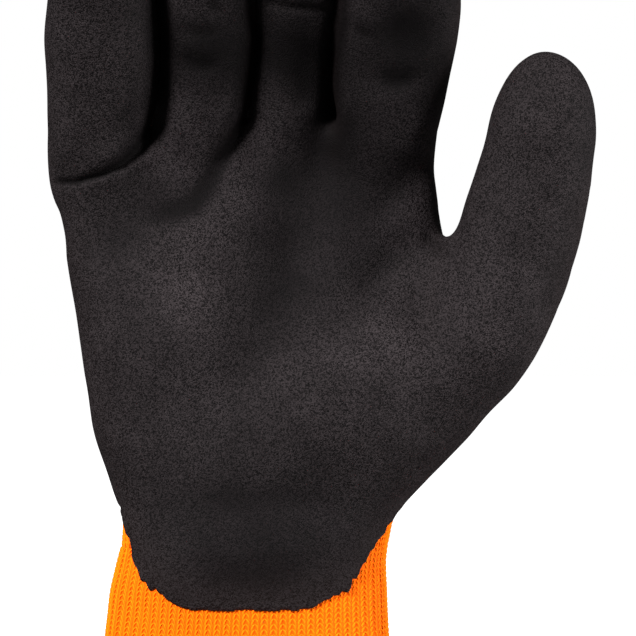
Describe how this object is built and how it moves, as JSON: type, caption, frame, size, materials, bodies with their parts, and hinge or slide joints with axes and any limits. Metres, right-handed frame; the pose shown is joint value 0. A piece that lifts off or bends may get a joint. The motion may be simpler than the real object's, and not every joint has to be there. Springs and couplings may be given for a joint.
{
  "type": "latex coated grip glove",
  "caption": "Knitted right-hand work glove with a dipped latex palm, fingers and thumb, a long knitted cuff and an overlocked hem.",
  "frame": {"origin": "centre of the cuff's mouth, at the hem's lower end", "axes": "+Z from the cuff to the fingertips, -Y the way the palm faces, +X the thumb's side"},
  "size_m": [0.1483, 0.0695, 0.2533],
  "materials": {
    "knit": "bright orange knitted yarn, matt",
    "latex": "black foamed latex with a sandy, matt grain"
  },
  "bodies": {
    "root": {"knit_hand": "knit", "knit_little": "knit", "knit_ring": "knit", "knit_middle": "knit", "knit_index": "knit", "knit_thumb": "knit", "palm_coating": "latex", "knit_cuff": "knit", "cuff_hem": "knit"}
  },
  "joints": []
}
